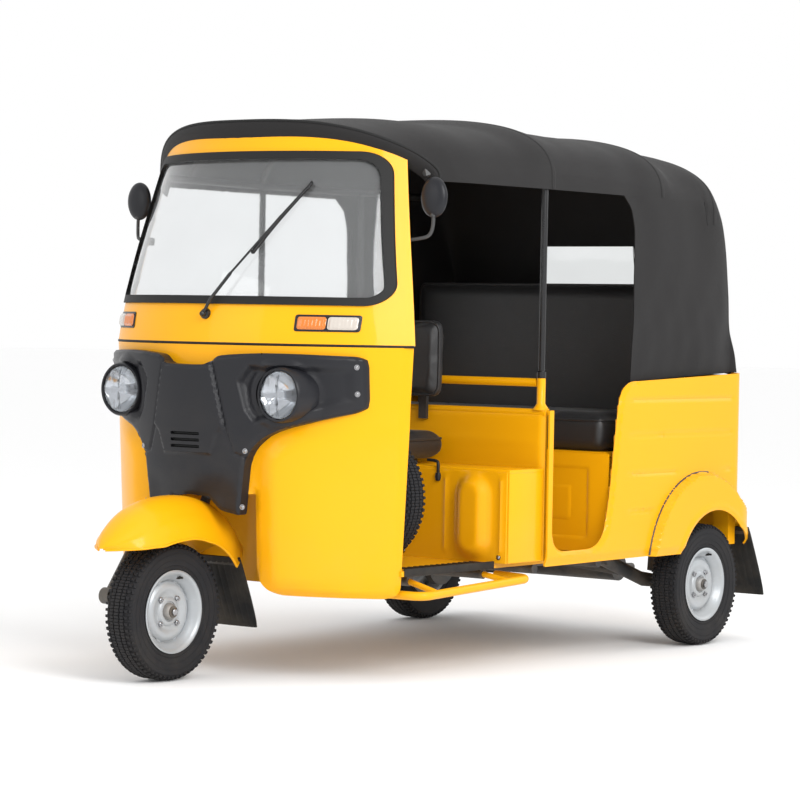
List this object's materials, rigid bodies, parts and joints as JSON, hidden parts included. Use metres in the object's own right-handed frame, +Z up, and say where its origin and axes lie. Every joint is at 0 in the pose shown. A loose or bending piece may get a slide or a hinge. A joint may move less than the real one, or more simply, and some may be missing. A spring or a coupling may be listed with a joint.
{
  "type": "auto rickshaw",
  "caption": "Three-wheeled passenger auto rickshaw with an open-sided cab, fabric hood, steered front wheel, rear bench and engine hatch.",
  "frame": {"origin": "on the ground under the centre of the overall length and width", "axes": "+X to the vehicle's left, +Y to the rear, +Z up; the front faces -Y"},
  "size_m": [1.3, 2.6318, 1.7044],
  "materials": {
    "amber_lens": "clear amber",
    "black_plastic": "grained",
    "black_rubber": "matt",
    "black_steel": "satin",
    "body_yellow": "gloss",
    "cast_alloy": "cast",
    "clear_sheet": "clear sheet",
    "hood_vinyl": "coated cloth",
    "lamp_lens": "clear",
    "red_lens": "clear red",
    "seat_vinyl": "coated cloth",
    "tyre": "moulded rubber",
    "wheel_silver": "silver paint",
    "window_glass": "clear"
  },
  "bodies": {
    "chassis": {"bench_frame": "body_yellow", "brake_pedal": "black_steel", "chassis_frame": "black_steel", "dashboard": "black_plastic", "door_posts": "black_steel", "drive_shafts": "black_steel", "driver_backrest": "seat_vinyl", "driver_seat": "seat_vinyl", "engine_block": "cast_alloy", "exhaust": "black_steel", "floor_pan": "body_yellow", "front_cowl": "body_yellow", "front_fascia": "black_plastic", "front_indicators": "amber_lens", "guard_rail": "body_yellow", "headlamps": "lamp_lens", "hood": "hood_vinyl", "hood_frame": "black_steel", "lid_hinges": "black_steel", "mirrors": "black_plastic", "partition": "body_yellow", "passenger_backrest": "seat_vinyl", "passenger_seat": "seat_vinyl", "rear_mudflaps": "black_rubber", "rear_shocks": "black_steel", "rear_window": "clear_sheet", "seat_box": "body_yellow", "seat_mounts": "black_steel", "side_panel_left": "body_yellow", "side_panel_right": "body_yellow", "spare_rim": "wheel_silver", "spare_tyre": "tyre", "steering_head": "black_steel", "step_rails": "body_yellow", "swing_arms": "black_steel", "tail_lamps": "red_lens", "tail_panel": "body_yellow", "wheel_housing": "body_yellow", "windscreen_frame": "body_yellow", "windscreen_glass": "window_glass", "windscreen_seal": "black_rubber", "wiper": "black_steel"},
    "steering": {"fork": "black_steel", "front_link": "black_steel", "front_shock": "black_steel", "steering_column": "black_steel", "handlebar": "black_steel", "instrument_pod": "black_plastic", "front_fender": "body_yellow", "front_mudflap": "black_rubber"},
    "front_wheel": {"front_tyre": "tyre", "front_rim": "wheel_silver"},
    "rear_left_wheel": {"rear_left_tyre": "tyre", "rear_left_rim": "wheel_silver"},
    "rear_right_wheel": {"rear_right_tyre": "tyre", "rear_right_rim": "wheel_silver"},
    "tail_lid": {"tail_lid": "body_yellow"}
  },
  "joints": [
    {"name": "steering", "type": "hinge", "parent": "chassis", "child": "steering", "pos_m": [0, -1.0825, 0], "axis": [0, 0.3875, 0.9219], "range_deg": [-38, 38]},
    {"name": "front_wheel_spin", "type": "hinge", "parent": "steering", "child": "front_wheel", "pos_m": [0, -1.0425, 0.203], "axis": [1, 0, 0], "continuous": true},
    {"name": "rear_left_wheel_spin", "type": "hinge", "parent": "chassis", "child": "rear_left_wheel", "pos_m": [0.575, 0.9575, 0.203], "axis": [1, 0, 0], "continuous": true},
    {"name": "rear_right_wheel_spin", "type": "hinge", "parent": "chassis", "child": "rear_right_wheel", "pos_m": [-0.575, 0.9575, 0.203], "axis": [1, 0, 0], "continuous": true},
    {"name": "tail_lid", "type": "hinge", "parent": "chassis", "child": "tail_lid", "pos_m": [0, 1.1987, 0.634], "axis": [1, 0, 0], "range_deg": [0, 75]}
  ]
}
